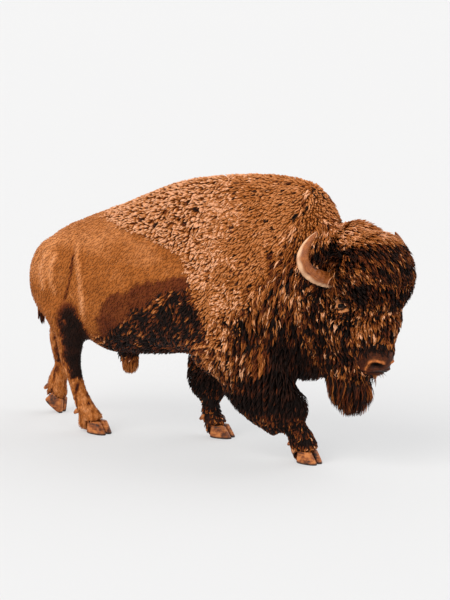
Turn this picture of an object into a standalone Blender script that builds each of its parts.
"""A life-size bull bison, walking with its head low and turned to its right.

Lofted forms stand for the trunk, neck, head, legs and the long coat. They are fused into one
body, smoothed, and parted by thin saw cuts where a person would name the parts. Horns, eyes,
ears, hoof claws and dewclaws are made one by one and set into sockets. Metres, +X forward,
+Y to the bison's left, +Z up, with the floor at z = 0.
"""

import math

import bmesh
import bpy
import numpy as np
from mathutils import Matrix, Vector

# ---------------------------------------------------------------- driving sizes
HUMP_HEIGHT = 1.745
RUMP_HEIGHT = 0.73 * HUMP_HEIGHT
BELLY_HEIGHT = 0.295 * HUMP_HEIGHT
CHEST_WIDTH = 0.75
CLAW_LENGTH = 0.152
CLAW_WIDTH = 0.064
CLAW_HEIGHT = 0.078
CLEFT = 0.004
HORN_RADIUS = 0.050
EYE_RADIUS = 0.024
HEEL_SIZES = (0.066, 0.062, 0.056)
SAW_CUT = 0.0006
SOCKET_GAP = 0.0004
RING_SIDES = 32
VOXEL = 0.017

LEFT, RIGHT = 1, -1
SIDE_NAME = {LEFT: "left", RIGHT: "right"}
HORN_SPREAD = {LEFT: 0.93, RIGHT: 1.0}
UP = Vector((0, 0, 1))

# The head hangs from the poll, which is the middle point between the roots of the horns.
POLL = Vector((1.220, -0.050, 1.190))
HEAD_YAW = math.radians(-18)
HEAD_ROLL = math.radians(-7)
FACE_LEAN = math.radians(20)


# ---------------------------------------------------------------- small tools
def clear_scene():
    for thing in list(bpy.data.objects):
        bpy.data.objects.remove(thing)


def spline(rows, count):
    """count rows on a smooth curve through the given rows of numbers."""
    rows = np.array(rows, float)
    last = len(rows) - 1
    padded = np.vstack([2 * rows[0] - rows[1], rows, 2 * rows[-1] - rows[-2]])
    made = []
    for place in np.linspace(0, last, count):
        i = min(int(place), last - 1)
        t = place - i
        a, b, c, d = padded[i : i + 4]
        made.append(
            0.5 * (2 * b + (c - a) * t + (2 * a - 5 * b + 4 * c - d) * t * t
                   + (3 * b - a - 3 * c + d) * t**3)
        )
    return np.array(made)


def ring(centre, side, rise, width, up, down, top_power=2.0, bottom_power=2.0, sides=RING_SIDES):
    """Points round a centre. A power of 2 is an ellipse, less is a ridge and more is a box."""
    points = []
    for k in range(sides):
        angle = 2 * math.pi * k / sides
        across, along = math.sin(angle), math.cos(angle)
        power = top_power if along >= 0 else bottom_power
        reach = up if along >= 0 else down
        y = math.copysign(abs(across) ** (2 / power), across) * width
        z = math.copysign(abs(along) ** (2 / power), along) * reach
        points.append(Vector(centre) + Vector(side) * y + Vector(rise) * z)
    return points


def mesh_object(name, vertices, faces):
    mesh = bpy.data.meshes.new(name)
    mesh.from_pydata([tuple(v) for v in vertices], [], faces)
    made = bpy.data.objects.new(name, mesh)
    bpy.context.collection.objects.link(made)
    return made


def skin_of_rings(name, rings):
    """A closed tube through the rings, with its faces pointing out."""
    count = len(rings[0])
    faces = []
    for row in range(len(rings) - 1):
        for k in range(count):
            a, b = row * count + k, row * count + (k + 1) % count
            faces.append((a, b, b + count, a + count))
    faces.append(tuple(range(count))[::-1])
    faces.append(tuple(range((len(rings) - 1) * count, len(rings) * count)))
    made = mesh_object(name, [p for points in rings for p in points], faces)
    shape = bmesh.new()
    shape.from_mesh(made.data)
    bmesh.ops.recalc_face_normals(shape, faces=shape.faces)
    shape.to_mesh(made.data)
    shape.free()
    return made


def limb(name, joints, count=26, side=Vector((0, 1, 0)), sides=RING_SIDES, grow=0.0):
    """A tube along joints. Each joint is x, y, z, half depth fore and aft, half width."""
    rows = spline(joints, count)
    rings = []
    for i, row in enumerate(rows):
        before, after = rows[max(i - 1, 0)], rows[min(i + 1, count - 1)]
        down = Vector(after[:3] - before[:3]).normalized()
        across = (side - down * side.dot(down)).normalized()
        fore = across.cross(down)
        wide, deep = row[4] + grow, row[3] + grow
        rings.append(ring(row[:3], across, fore, wide, deep, deep, sides=sides))
    return skin_of_rings(name, rings)


def blob(name, centre, sizes, turn=None, fineness=4):
    """An ellipsoid with half sizes along its own axes."""
    shape = bmesh.new()
    bmesh.ops.create_icosphere(shape, subdivisions=fineness, radius=1.0)
    bmesh.ops.scale(shape, vec=Vector(sizes), verts=shape.verts)
    if turn is not None:
        bmesh.ops.rotate(shape, matrix=turn, verts=shape.verts)
    bmesh.ops.translate(shape, vec=Vector(centre), verts=shape.verts)
    mesh = bpy.data.meshes.new(name)
    shape.to_mesh(mesh)
    shape.free()
    made = bpy.data.objects.new(name, mesh)
    bpy.context.collection.objects.link(made)
    return made


def box(name, frame, sizes):
    """A block of full sizes, centred in the frame."""
    x, y, z = (half / 2 for half in sizes)
    corners = [(i * x, j * y, k * z) for i in (-1, 1) for j in (-1, 1) for k in (-1, 1)]
    faces = [(0, 1, 3, 2), (4, 6, 7, 5), (0, 4, 5, 1), (2, 3, 7, 6), (0, 2, 6, 4), (1, 5, 7, 3)]
    return mesh_object(name, [frame @ Vector(corner) for corner in corners], faces)


# ---------------------------------------------------------------- the trunk
def trunk():
    """Sections from the rump to the base of the neck.

    Columns: x, top, widest level, bottom, half width, roundness above, roundness below.
    """
    hump, rump, belly, broad = HUMP_HEIGHT, RUMP_HEIGHT, BELLY_HEIGHT, CHEST_WIDTH / 2
    sections = [
        (-1.140, rump - 0.200, 1.000, belly + 0.420, 0.070, 2.0, 2.0),
        (-1.110, rump - 0.130, 0.990, belly + 0.325, 0.145, 2.0, 2.0),
        (-1.040, rump - 0.065, 0.980, belly + 0.225, 0.212, 2.0, 2.1),
        (-0.950, rump - 0.002, 0.980, belly + 0.155, 0.262, 2.0, 2.2),
        (-0.840, rump + 0.050, 0.975, belly + 0.080, 0.295, 2.0, 2.2),
        (-0.700, rump + 0.110, 0.970, belly + 0.028, 0.305, 2.0, 2.2),
        (-0.550, rump + 0.170, 0.960, belly - 0.015, 0.325, 1.95, 2.2),
        (-0.360, hump - 0.215, 0.950, belly + 0.008, 0.350, 1.9, 2.2),
        (-0.120, hump - 0.113, 0.940, belly + 0.034, broad - 0.010, 1.8, 2.2),
        (0.114, hump - 0.057, 0.940, belly + 0.040, broad, 1.7, 2.1),
        (0.347, hump - 0.023, 0.950, belly + 0.005, broad, 1.7, 2.0),
        (0.577, hump, 0.960, belly - 0.025, broad - 0.015, 1.7, 1.9),
        (0.800, hump - 0.020, 0.990, belly - 0.050, 0.330, 1.75, 1.8),
        (0.910, hump - 0.070, 1.020, belly - 0.025, 0.300, 1.8, 1.8),
        (0.990, hump - 0.185, 1.050, belly + 0.015, 0.240, 1.9, 1.9),
        (1.040, hump - 0.370, 1.060, belly + 0.060, 0.160, 2.0, 2.0),
    ]
    rings = [
        ring((x, 0, wide), (0, 1, 0), UP, half, top - wide, wide - bottom, above, below)
        for x, top, wide, bottom, half, above, below in spline(sections, 52)
    ]
    return skin_of_rings("trunk", rings)


def shoulder_and_thigh(side):
    """The muscle masses that stand out from the trunk where the legs join it."""
    return [
        blob("shoulder", (0.42, side * 0.205, 0.98), (0.36, 0.185, 0.44)),
        blob("elbow", (0.34, side * 0.225, 0.72), (0.26, 0.145, 0.25)),
        blob("haunch", (-0.93, side * 0.145, 0.95), (0.205, 0.145, 0.28)),
        blob("stifle", (-0.82, side * 0.200, 0.76), (0.150, 0.105, 0.20)),
    ]


# ---------------------------------------------------------------- the head
def head_frame():
    """Turns head coordinates into the bison's own.

    In the head, x points out of the forehead, y to the left and z up the face to the poll.
    """
    lean = Matrix.Rotation(-FACE_LEAN, 4, "Y")
    roll = Matrix.Rotation(HEAD_ROLL, 4, "X")
    yaw = Matrix.Rotation(HEAD_YAW, 4, "Z")
    return Matrix.Translation(POLL) @ yaw @ roll @ lean


HEAD = head_frame()
HEAD_TURN = HEAD.to_3x3()


def in_head(*point):
    return HEAD @ Vector(point)


def skull():
    """Sections down the face, from the crown to the lips.

    Columns: distance below the poll, middle, half width, reach forward, reach back.
    """
    sections = [
        (-0.160, -0.020, 0.120, 0.070, 0.090),
        (-0.060, -0.030, 0.180, 0.150, 0.170),
        (0.050, -0.030, 0.205, 0.205, 0.220),
        (0.140, -0.030, 0.200, 0.215, 0.240),
        (0.220, -0.030, 0.190, 0.225, 0.240),
        (0.300, -0.030, 0.172, 0.252, 0.220),
        (0.380, -0.030, 0.148, 0.232, 0.180),
        (0.460, -0.025, 0.122, 0.182, 0.140),
        (0.530, -0.020, 0.110, 0.162, 0.115),
        (0.590, -0.015, 0.092, 0.132, 0.095),
        (0.630, -0.010, 0.045, 0.062, 0.050),
    ]
    rings = [
        ring(in_head(middle, 0, -below), HEAD_TURN.col[1], HEAD_TURN.col[0], half, fore, back, 2.2)
        for below, middle, half, fore, back in spline(sections, 34)
    ]
    return skin_of_rings("skull", rings)


def bonnet():
    """The dome of hair between and above the horns, and the ruff behind it."""
    return [
        blob("bonnet", in_head(0.086, 0, -0.018), (0.262, 0.276, 0.284), HEAD_TURN),
        blob("ruff", in_head(-0.030, 0, 0.092), (0.230, 0.236, 0.252), HEAD_TURN),
    ]


def jowl(side):
    """The hair that fills out a cheek, between the horn and the jaw."""
    return blob("jowl", in_head(-0.090, side * 0.100, -0.270), (0.165, 0.120, 0.225), HEAD_TURN)


def neck():
    """From inside the shoulders to the back of the head, deep with hair."""
    start, end = Vector((0.72, 0, 1.08)), in_head(-0.098, 0, -0.055)
    rows = [
        (*start, 0.340, 0.500, 0.600),
        (*start.lerp(end, 0.45), 0.300, 0.440, 0.585),
        (*start.lerp(end, 0.80), 0.260, 0.340, 0.505),
        (*end, 0.215, 0.240, 0.400),
    ]
    along = (end - start).normalized()
    across = UP.cross(along).normalized()
    rings = [
        ring(row[:3], across, UP, row[3], row[4], row[5], 1.8, 1.7) for row in spline(rows, 14)
    ]
    return skin_of_rings("neck", rings)


def beard():
    """Hangs from the jaw and throat, deeper fore and aft than it is wide."""
    root, tip = in_head(-0.230, 0, -0.290), in_head(-0.162, 0, -0.492)
    tip.z = 0.322
    middle = root.lerp(tip, 0.5)
    rows = [
        (*root, 0.200, 0.150),
        (*middle, 0.190, 0.130),
        (*middle.lerp(tip, 0.60), 0.165, 0.110),
        (*tip, 0.075, 0.055),
    ]
    return limb("beard", rows, 16, HEAD_TURN.col[1])


# ---------------------------------------------------------------- the legs
# Each joint is x, y, z, half depth fore and aft, half width, from the body down to the hoof.
BONES = {
    ("fore", RIGHT): [
        (0.500, -0.235, 0.660, 0.150, 0.110),
        (0.660, -0.225, 0.510, 0.110, 0.090),
        (0.822, -0.200, 0.365, 0.112, 0.078),
        (0.826, -0.180, 0.250, 0.070, 0.058),
        (0.865, -0.172, 0.150, 0.090, 0.066),
        (0.918, -0.170, 0.060, 0.088, 0.068),
    ],
    ("fore", LEFT): [
        (0.220, 0.235, 0.660, 0.150, 0.110),
        (0.200, 0.215, 0.520, 0.110, 0.090),
        (0.120, 0.180, 0.370, 0.080, 0.068),
        (0.034, 0.155, 0.250, 0.056, 0.052),
        (0.018, 0.145, 0.150, 0.070, 0.060),
        (0.074, 0.140, 0.060, 0.078, 0.064),
    ],
    ("hind", RIGHT): [
        (-0.850, -0.210, 0.800, 0.170, 0.105),
        (-0.810, -0.205, 0.640, 0.108, 0.085),
        (-0.812, -0.195, 0.470, 0.078, 0.058),
        (-0.775, -0.185, 0.310, 0.054, 0.046),
        (-0.715, -0.180, 0.160, 0.064, 0.054),
        (-0.636, -0.180, 0.060, 0.078, 0.064),
    ],
    ("hind", LEFT): [
        (-0.970, 0.200, 0.800, 0.160, 0.105),
        (-1.085, 0.195, 0.640, 0.110, 0.085),
        (-1.150, 0.190, 0.490, 0.080, 0.060),
        (-1.128, 0.185, 0.320, 0.060, 0.050),
        (-1.168, 0.180, 0.200, 0.068, 0.060),
        (-1.165, 0.180, 0.105, 0.074, 0.064),
    ],
}

# Hoof places: x and y under the middle of the foot, how far it turns out and the heel's lift.
HOOVES = {
    ("fore", RIGHT): (0.932, -0.170, math.radians(-8), 0.0),
    ("fore", LEFT): (0.110, 0.140, math.radians(6), 0.0),
    ("hind", RIGHT): (-0.604, -0.180, math.radians(-10), 0.0),
    ("hind", LEFT): (-1.200, 0.180, math.radians(8), math.radians(38)),
}

# How far the heel reaches behind the claws, and the dewclaws behind the middle of the fetlock.
HEEL_REACH = {
    ("fore", RIGHT): 0.054, ("fore", LEFT): 0.050, ("hind", RIGHT): 0.102, ("hind", LEFT): 0.034
}
DEWCLAW_REACH = {
    ("fore", RIGHT): 0.074, ("fore", LEFT): 0.062, ("hind", RIGHT): 0.063, ("hind", LEFT): 0.078
}


def bones(end, side):
    """Elbow or stifle down to the hoof, without the coat."""
    return limb("leg", BONES[end, side], 30)


def heel(end, side):
    """The soft bulbs of the foot, behind and above its two claws."""
    frame = hoof_frame(end, side)
    long, _, high = HEEL_SIZES
    middle = frame @ Vector((long - CLAW_LENGTH / 2 - HEEL_REACH[end, side], 0, high))
    return blob("heel", middle, HEEL_SIZES, frame.to_3x3())


def chaps(side):
    """The long hair of the upper fore leg, which trails behind it below the knee."""
    rows = {
        RIGHT: [
            (0.440, -0.235, 0.760, 0.240, 0.150),
            (0.530, -0.230, 0.590, 0.245, 0.140),
            (0.640, -0.215, 0.430, 0.238, 0.120),
            (0.728, -0.200, 0.310, 0.190, 0.105),
            (0.790, -0.190, 0.205, 0.120, 0.080),
        ],
        LEFT: [
            (0.160, 0.235, 0.760, 0.230, 0.150),
            (0.080, 0.220, 0.580, 0.225, 0.140),
            (0.010, 0.200, 0.430, 0.195, 0.120),
            (-0.010, 0.180, 0.320, 0.145, 0.100),
            (0.010, 0.165, 0.230, 0.080, 0.070),
        ],
    }[side]
    return limb("chaps", rows, 22)


def tail():
    """A thin tail, hanging close behind the rump, with a tuft at its end."""
    rows = [
        (-1.060, 0.0, 1.130, 0.050, 0.050),
        (-1.130, 0.0, 1.085, 0.040, 0.040),
        (-1.172, 0.0, 0.980, 0.024, 0.024),
        (-1.175, 0.0, 0.820, 0.022, 0.024),
        (-1.165, 0.0, 0.700, 0.034, 0.036),
        (-1.155, 0.0, 0.600, 0.010, 0.012),
    ]
    return limb("tail", rows, 26)


def sheath():
    """The tuft of hair under the belly of a bull."""
    rows = [
        (-0.470, 0.0, 0.640, 0.130, 0.080),
        (-0.485, 0.0, 0.520, 0.062, 0.055),
        (-0.492, 0.0, 0.450, 0.060, 0.052),
        (-0.492, 0.0, 0.386, 0.036, 0.034),
    ]
    return limb("sheath", rows, 12)


# ---------------------------------------------------------------- one fused body
def fused_body():
    forms = [trunk(), skull(), *bonnet(), neck(), beard(), tail(), sheath()]
    for side in (LEFT, RIGHT):
        forms += [*shoulder_and_thigh(side), bones("fore", side), bones("hind", side)]
        forms += [heel("fore", side), heel("hind", side), chaps(side), jowl(side)]
    with bpy.context.temp_override(active_object=forms[0], selected_editable_objects=forms):
        bpy.ops.object.join()
    body = forms[0]
    body.name = "body"
    fuse = body.modifiers.new("Fuse", "REMESH")
    fuse.mode = "VOXEL"
    fuse.voxel_size = VOXEL
    soften = body.modifiers.new("Soften", "SMOOTH")
    soften.factor = 0.5
    soften.iterations = 6
    thin = body.modifiers.new("Thin", "DECIMATE")
    thin.ratio = 0.0398
    return body


# ---------------------------------------------------------------- hooves, horns, eyes, ears
def hoof_frame(end, side):
    """Under the middle of the foot, with x to the toe. A lifted heel turns about the toe."""
    x, y, turn, lift = HOOVES[end, side]
    sink = -0.010 if lift else 0.0
    place = Matrix.Translation((x, y, sink)) @ Matrix.Rotation(turn, 4, "Z")
    toe = Matrix.Translation((CLAW_LENGTH / 2, 0, 0))
    return place @ toe @ Matrix.Rotation(lift, 4, "Y") @ toe.inverted()


def claw(end, side, half):
    """One half of a cloven hoof. Its toe slopes back and its two halves leave a cleft."""
    frame = hoof_frame(end, side)
    rings = []
    for height, inset in ((0.0, 0.004), (0.005, 0.0), (CLAW_HEIGHT * 0.5, 0.0), (CLAW_HEIGHT, 0.002)):
        front = CLAW_LENGTH / 2 - inset - height * 0.62
        back = -CLAW_LENGTH / 2 + inset + height * 0.10
        outer = CLEFT / 2 + (CLAW_WIDTH - CLEFT / 2) * (1 - 1.2 * height) - inset
        points = []
        for k in range(10):
            angle = 2 * math.pi * k / 10
            x = math.copysign(abs(math.cos(angle)) ** 0.75, math.cos(angle))
            y = math.copysign(abs(math.sin(angle)) ** 0.75, math.sin(angle))
            across = (CLEFT / 2 + inset + outer) / 2 + y * (outer - CLEFT / 2 - inset) / 2
            along = (front + back) / 2 + x * (front - back) / 2
            toe_in = 0.010 * max(0.0, along / CLAW_LENGTH * 2) ** 2
            point = frame @ Vector((along, half * max(across - toe_in, CLEFT / 2), height))
            point.z = max(point.z, 0.0)
            points.append(point)
        rings.append(points)
    return skin_of_rings("claw", rings)


def horn(side):
    """Grows out of the side of the crown, sweeps out and up, and turns in at the tip.

    As on most old bulls, the two horns are not quite alike: the left one spreads less.
    """
    path = [
        (-0.030, 0.165, -0.034, 1.00),
        (-0.033, 0.240, -0.031, 1.00),
        (-0.044, 0.335, -0.005, 0.98),
        (-0.048, 0.402, 0.044, 0.92),
        (-0.038, 0.428, 0.099, 0.82),
        (-0.023, 0.415, 0.157, 0.64),
        (-0.002, 0.375, 0.214, 0.40),
        (0.018, 0.330, 0.256, 0.10),
    ]
    reach = side * HORN_SPREAD[side]
    rows = [(*in_head(x, reach * y, z), HORN_RADIUS * r, HORN_RADIUS * r) for x, y, z, r in path]
    return limb("horn", rows, 13, HEAD_TURN.col[0], sides=10)


def ear(side):
    """A leaf that points out and back from below the horn."""
    path = [
        (-0.110, 0.170, -0.050, 0.014, 0.024),
        (-0.128, 0.235, -0.060, 0.016, 0.032),
        (-0.152, 0.295, -0.072, 0.013, 0.032),
        (-0.168, 0.335, -0.084, 0.005, 0.012),
    ]
    rows = [(*in_head(x, side * y, z), deep, wide) for x, y, z, deep, wide in path]
    return limb("ear", rows, 7, HEAD_TURN.col[2], sides=10)


def eye(side, body):
    """A ball sunk a little under the surface beside the face."""
    inward = -side * HEAD_TURN.col[1]
    outside = in_head(-0.005, side * 0.50, -0.195)
    surface = body.ray_cast(outside, inward)[1]
    return blob("eye", surface + inward * 0.45 * EYE_RADIUS, (EYE_RADIUS,) * 3, fineness=2)


def dewclaw(end, side, half):
    """The two small claws behind the fetlock."""
    fetlock = Vector(BONES[end, side][4][:3])
    turn = Matrix.Rotation(HOOVES[end, side][2], 3, "Z")
    reach = DEWCLAW_REACH[end, side]
    root = fetlock + turn @ Vector((0.040 - reach, half * 0.026, -0.016))
    tip = fetlock + turn @ Vector((-reach, half * 0.033, -0.048))
    rows = [(*root, 0.017, 0.015), (*root.lerp(tip, 0.6), 0.017, 0.015), (*tip, 0.008, 0.007)]
    return limb("dewclaw", rows, 3, turn @ Vector((0, 1, 0)), sides=7)


# ---------------------------------------------------------------- cutting and parting
def bake(thing):
    """Keeps the shape its modifiers give and drops them."""
    settled = thing.evaluated_get(bpy.context.evaluated_depsgraph_get())
    mesh = bpy.data.meshes.new_from_object(settled)
    thing.modifiers.clear()
    thing.data = mesh


def joined(things):
    with bpy.context.temp_override(active_object=things[0], selected_editable_objects=things):
        bpy.ops.object.join()
    return things[0]


def cut(thing, tools):
    """Takes the tools away from the thing and removes them."""
    tool = joined(tools)
    take = thing.modifiers.new("Take", "BOOLEAN")
    take.operation = "DIFFERENCE"
    take.solver = "EXACT"
    take.object = tool
    bake(thing)
    bpy.data.objects.remove(tool)


def grown(thing, gap):
    """A copy pushed out along its normals, to cut a socket that does not touch."""
    mesh = thing.data.copy()
    normals = [vertex.normal.copy() for vertex in mesh.vertices]
    for vertex, normal in zip(mesh.vertices, normals):
        vertex.co += normal * gap
    made = bpy.data.objects.new("socket", mesh)
    bpy.context.collection.objects.link(made)
    return made


def saw(centre, sizes, turn=0.0):
    """A thin upright or level sheet. The size given as 0 is the thin one."""
    frame = Matrix.Translation(centre) @ Matrix.Rotation(turn, 4, "Z")
    return box("saw", frame, [size or SAW_CUT for size in sizes])


def loose_parts(thing):
    """One object for each separate body in the mesh."""
    shape = bmesh.new()
    shape.from_mesh(thing.data)
    waiting = set(shape.verts)
    parts = []
    while waiting:
        reached = {waiting.pop()}
        edge = list(reached)
        while edge:
            here = edge.pop()
            for link in here.link_edges:
                other = link.other_vert(here)
                if other in waiting:
                    waiting.discard(other)
                    reached.add(other)
                    edge.append(other)
        index = {v: i for i, v in enumerate(sorted(reached, key=lambda v: v.index))}
        faces = [f for f in shape.faces if f.verts[0] in index]
        parts.append(
            mesh_object("part", [v.co for v in index], [[index[v] for v in f.verts] for f in faces])
        )
    shape.free()
    bpy.data.objects.remove(thing)
    return parts


# Where the legs are sawn through: height and half the length of the saw. A saw is as wide as
# the leg allows, and the ankle saw lies a little above the fetlock.
LEG_SAWS = {"fore": ((0.445, 0.36), (0.300, 0.30)), "hind": ((0.525, 0.17), (0.400, 0.22))}
WIDEST_SAW = {"fore": 0.34, "hind": 0.25}
ANKLE_SAW = (0.026, 0.14)


def part_body(body):
    """Saws the fused body where a person would name its parts."""
    leg_saws = []
    for (end, side), rows in BONES.items():
        heights = [-row[2] for row in rows]
        fetlock = rows[4][2]
        for level, reach in LEG_SAWS[end] + ((fetlock + ANKLE_SAW[0], ANKLE_SAW[1]),):
            x = np.interp(-level, heights, [row[0] for row in rows])
            y = np.interp(-level, heights, [row[1] for row in rows])
            back = 0.5 * reach if end == "fore" and reach > 0.2 else 0.15 * reach
            wide = min(2 * abs(y) - 0.004, WIDEST_SAW[end])
            leg_saws.append(saw((x - back, y, level), (2 * reach, wide, 0)))
    cut(body, [
        saw((0.880, 0, 1.200), (0, 1.2, 1.50), math.radians(-8)),
        saw((-0.215, 0, 1.200), (0, 1.2, 1.49)),
        saw((-0.620, 0, 1.200), (0, 1.2, 1.49)),
    ])
    cut(body, leg_saws + [
        saw((-1.185, 0, 0.830), (0.13, 0.16, 0)),
        saw((-1.185, 0, 0.725), (0.13, 0.16, 0)),
        saw((-0.490, 0, 0.492), (0.22, 0.24, 0)),
    ])
    forward = Matrix.Rotation(HEAD_YAW, 3, "Z") @ Vector((1, 0, 0))
    nape = POLL - 0.20 * forward
    cut(body, [saw((nape.x, nape.y, 1.15), (0, 1.4, 1.50), HEAD_YAW)])
    chin = POLL + 0.0975 * forward
    cap = HEAD @ Matrix.Translation((0.10, 0, 0.105))
    cut(body, [
        saw((chin.x, chin.y, 0.610), (0.60, 0.80, 0), HEAD_YAW),
        box("saw", cap, (0.66, 0.64, SAW_CUT)),
    ])
    return loose_parts(body)


# ---------------------------------------------------------------- names and materials
# A part of the fused body takes the name whose point is nearest the middle of its box.
PARTS = {
    "forequarters": (0.35, 0.00, 1.09, "wool"),
    "neck": (0.98, -0.02, 1.08, "mane"),
    "beard": (1.20, -0.08, 0.46, "beard"),
    "head": (1.26, -0.06, 0.99, "face"),
    "bonnet": (1.25, -0.04, 1.36, "bonnet"),
    "barrel": (-0.42, 0.00, 1.04, "wool"),
    "hindquarters": (-0.92, 0.00, 0.99, "short_coat"),
    "tail": (-1.17, 0.00, 0.78, "short_coat"),
    "tail_tuft": (-1.17, 0.00, 0.67, "beard"),
    "sheath_tuft": (-0.49, 0.00, 0.42, "short_coat"),
    "forearm_right": (0.62, -0.22, 0.37, "mane"),
    "forearm_left": (0.05, 0.20, 0.37, "mane"),
    "cannon_fore_right": (0.75, -0.18, 0.24, "leg_coat"),
    "cannon_fore_left": (0.01, 0.18, 0.24, "leg_coat"),
    "pastern_fore_right": (0.87, -0.17, 0.12, "leg_coat"),
    "pastern_fore_left": (0.03, 0.14, 0.12, "leg_coat"),
    "gaskin_right": (-0.80, -0.20, 0.48, "leg_coat"),
    "gaskin_left": (-1.12, 0.19, 0.48, "leg_coat"),
    "cannon_hind_right": (-0.77, -0.18, 0.29, "leg_coat"),
    "cannon_hind_left": (-1.17, 0.18, 0.31, "leg_coat"),
    "pastern_hind_right": (-0.71, -0.18, 0.13, "leg_coat"),
    "pastern_hind_left": (-1.19, 0.18, 0.16, "leg_coat"),
}

# Colour and roughness. Colours are linear.
MATERIALS = {
    "short_coat": ((0.330, 0.130, 0.038), 0.80),
    "wool": ((0.370, 0.150, 0.050), 0.90),
    "mane": ((0.130, 0.050, 0.018), 0.90),
    "bonnet": ((0.170, 0.065, 0.024), 0.92),
    "face": ((0.070, 0.028, 0.012), 0.85),
    "beard": ((0.035, 0.014, 0.007), 0.90),
    "leg_coat": ((0.210, 0.080, 0.030), 0.80),
    "horn": ((0.330, 0.130, 0.045), 0.45),
    "hoof": ((0.070, 0.045, 0.032), 0.50),
    "eye": ((0.012, 0.008, 0.006), 0.08),
}


def painted(thing, name, coat):
    colour, roughness = MATERIALS[coat]
    material = bpy.data.materials.get(coat) or bpy.data.materials.new(coat)
    material.use_nodes = True
    shader = next(node for node in material.node_tree.nodes if node.type == "BSDF_PRINCIPLED")
    shader.inputs["Base Color"].default_value = (*colour, 1)
    shader.inputs["Roughness"].default_value = roughness
    shader.inputs["Metallic"].default_value = 0.0
    material.diffuse_color = (*colour, 1)
    thing.data.materials.clear()
    thing.data.materials.append(material)
    thing.name = name
    thing.data.name = name


def middle_of_box(thing):
    co = np.array([v.co for v in thing.data.vertices])
    return Vector((co.min(0) + co.max(0)) / 2)


def named_parts(parts):
    found = {}
    for part in parts:
        middle = middle_of_box(part)
        name = min(PARTS, key=lambda n: (Vector(PARTS[n][:3]) - middle).length)
        if name in found:
            raise ValueError("two parts are both nearest to " + name)
        found[name] = part
        painted(part, name, PARTS[name][3])
    if len(found) != len(PARTS):
        raise ValueError("missing " + ", ".join(sorted(set(PARTS) - set(found))))
    return found


def centre_on_floor():
    """Puts the origin under the middle of the whole bison."""
    things = list(bpy.data.objects)
    bpy.context.view_layer.update()
    co = np.concatenate([[v.co for v in thing.data.vertices] for thing in things])
    middle = (co.min(0) + co.max(0)) / 2
    shift = Matrix.Translation((-middle[0], -middle[1], -co[:, 2].min()))
    for thing in things:
        thing.data.transform(shift)


def main():
    clear_scene()
    body = fused_body()
    bake(body)
    eyes = {side: eye(side, body) for side in (LEFT, RIGHT)}
    for end, side in HOOVES:
        ahead, above = 0.050, CLAW_HEIGHT + SAW_CUT
        room = Matrix.Translation((ahead / 2, 0, above / 2 - 0.15))
        sizes = (CLAW_LENGTH + ahead + 0.004, 0.24, above + 0.30)
        cut(body, [box("under", hoof_frame(end, side) @ room, sizes)])
    found = named_parts(part_body(body))

    sockets = []
    for side in (LEFT, RIGHT):
        for name, thing, coat in (
            ("horn", horn(side), "horn"), ("ear", ear(side), "mane"), ("eye", eyes[side], "eye")
        ):
            sockets.append(grown(thing, 1.6 * SOCKET_GAP))
            painted(thing, name + "_" + SIDE_NAME[side], coat)
    cut(found["head"], sockets)

    for end, side in HOOVES:
        sockets = []
        for half in (LEFT, RIGHT):
            place = "_".join((end, SIDE_NAME[side], "outer" if half == side else "inner"))
            painted(claw(end, side, half), "claw_" + place, "hoof")
            spur = dewclaw(end, side, half)
            sockets.append(grown(spur, 1.6 * SOCKET_GAP))
            painted(spur, "dewclaw_" + place, "hoof")
        cut(found["pastern_" + end + "_" + SIDE_NAME[side]], sockets)
    centre_on_floor()


main()
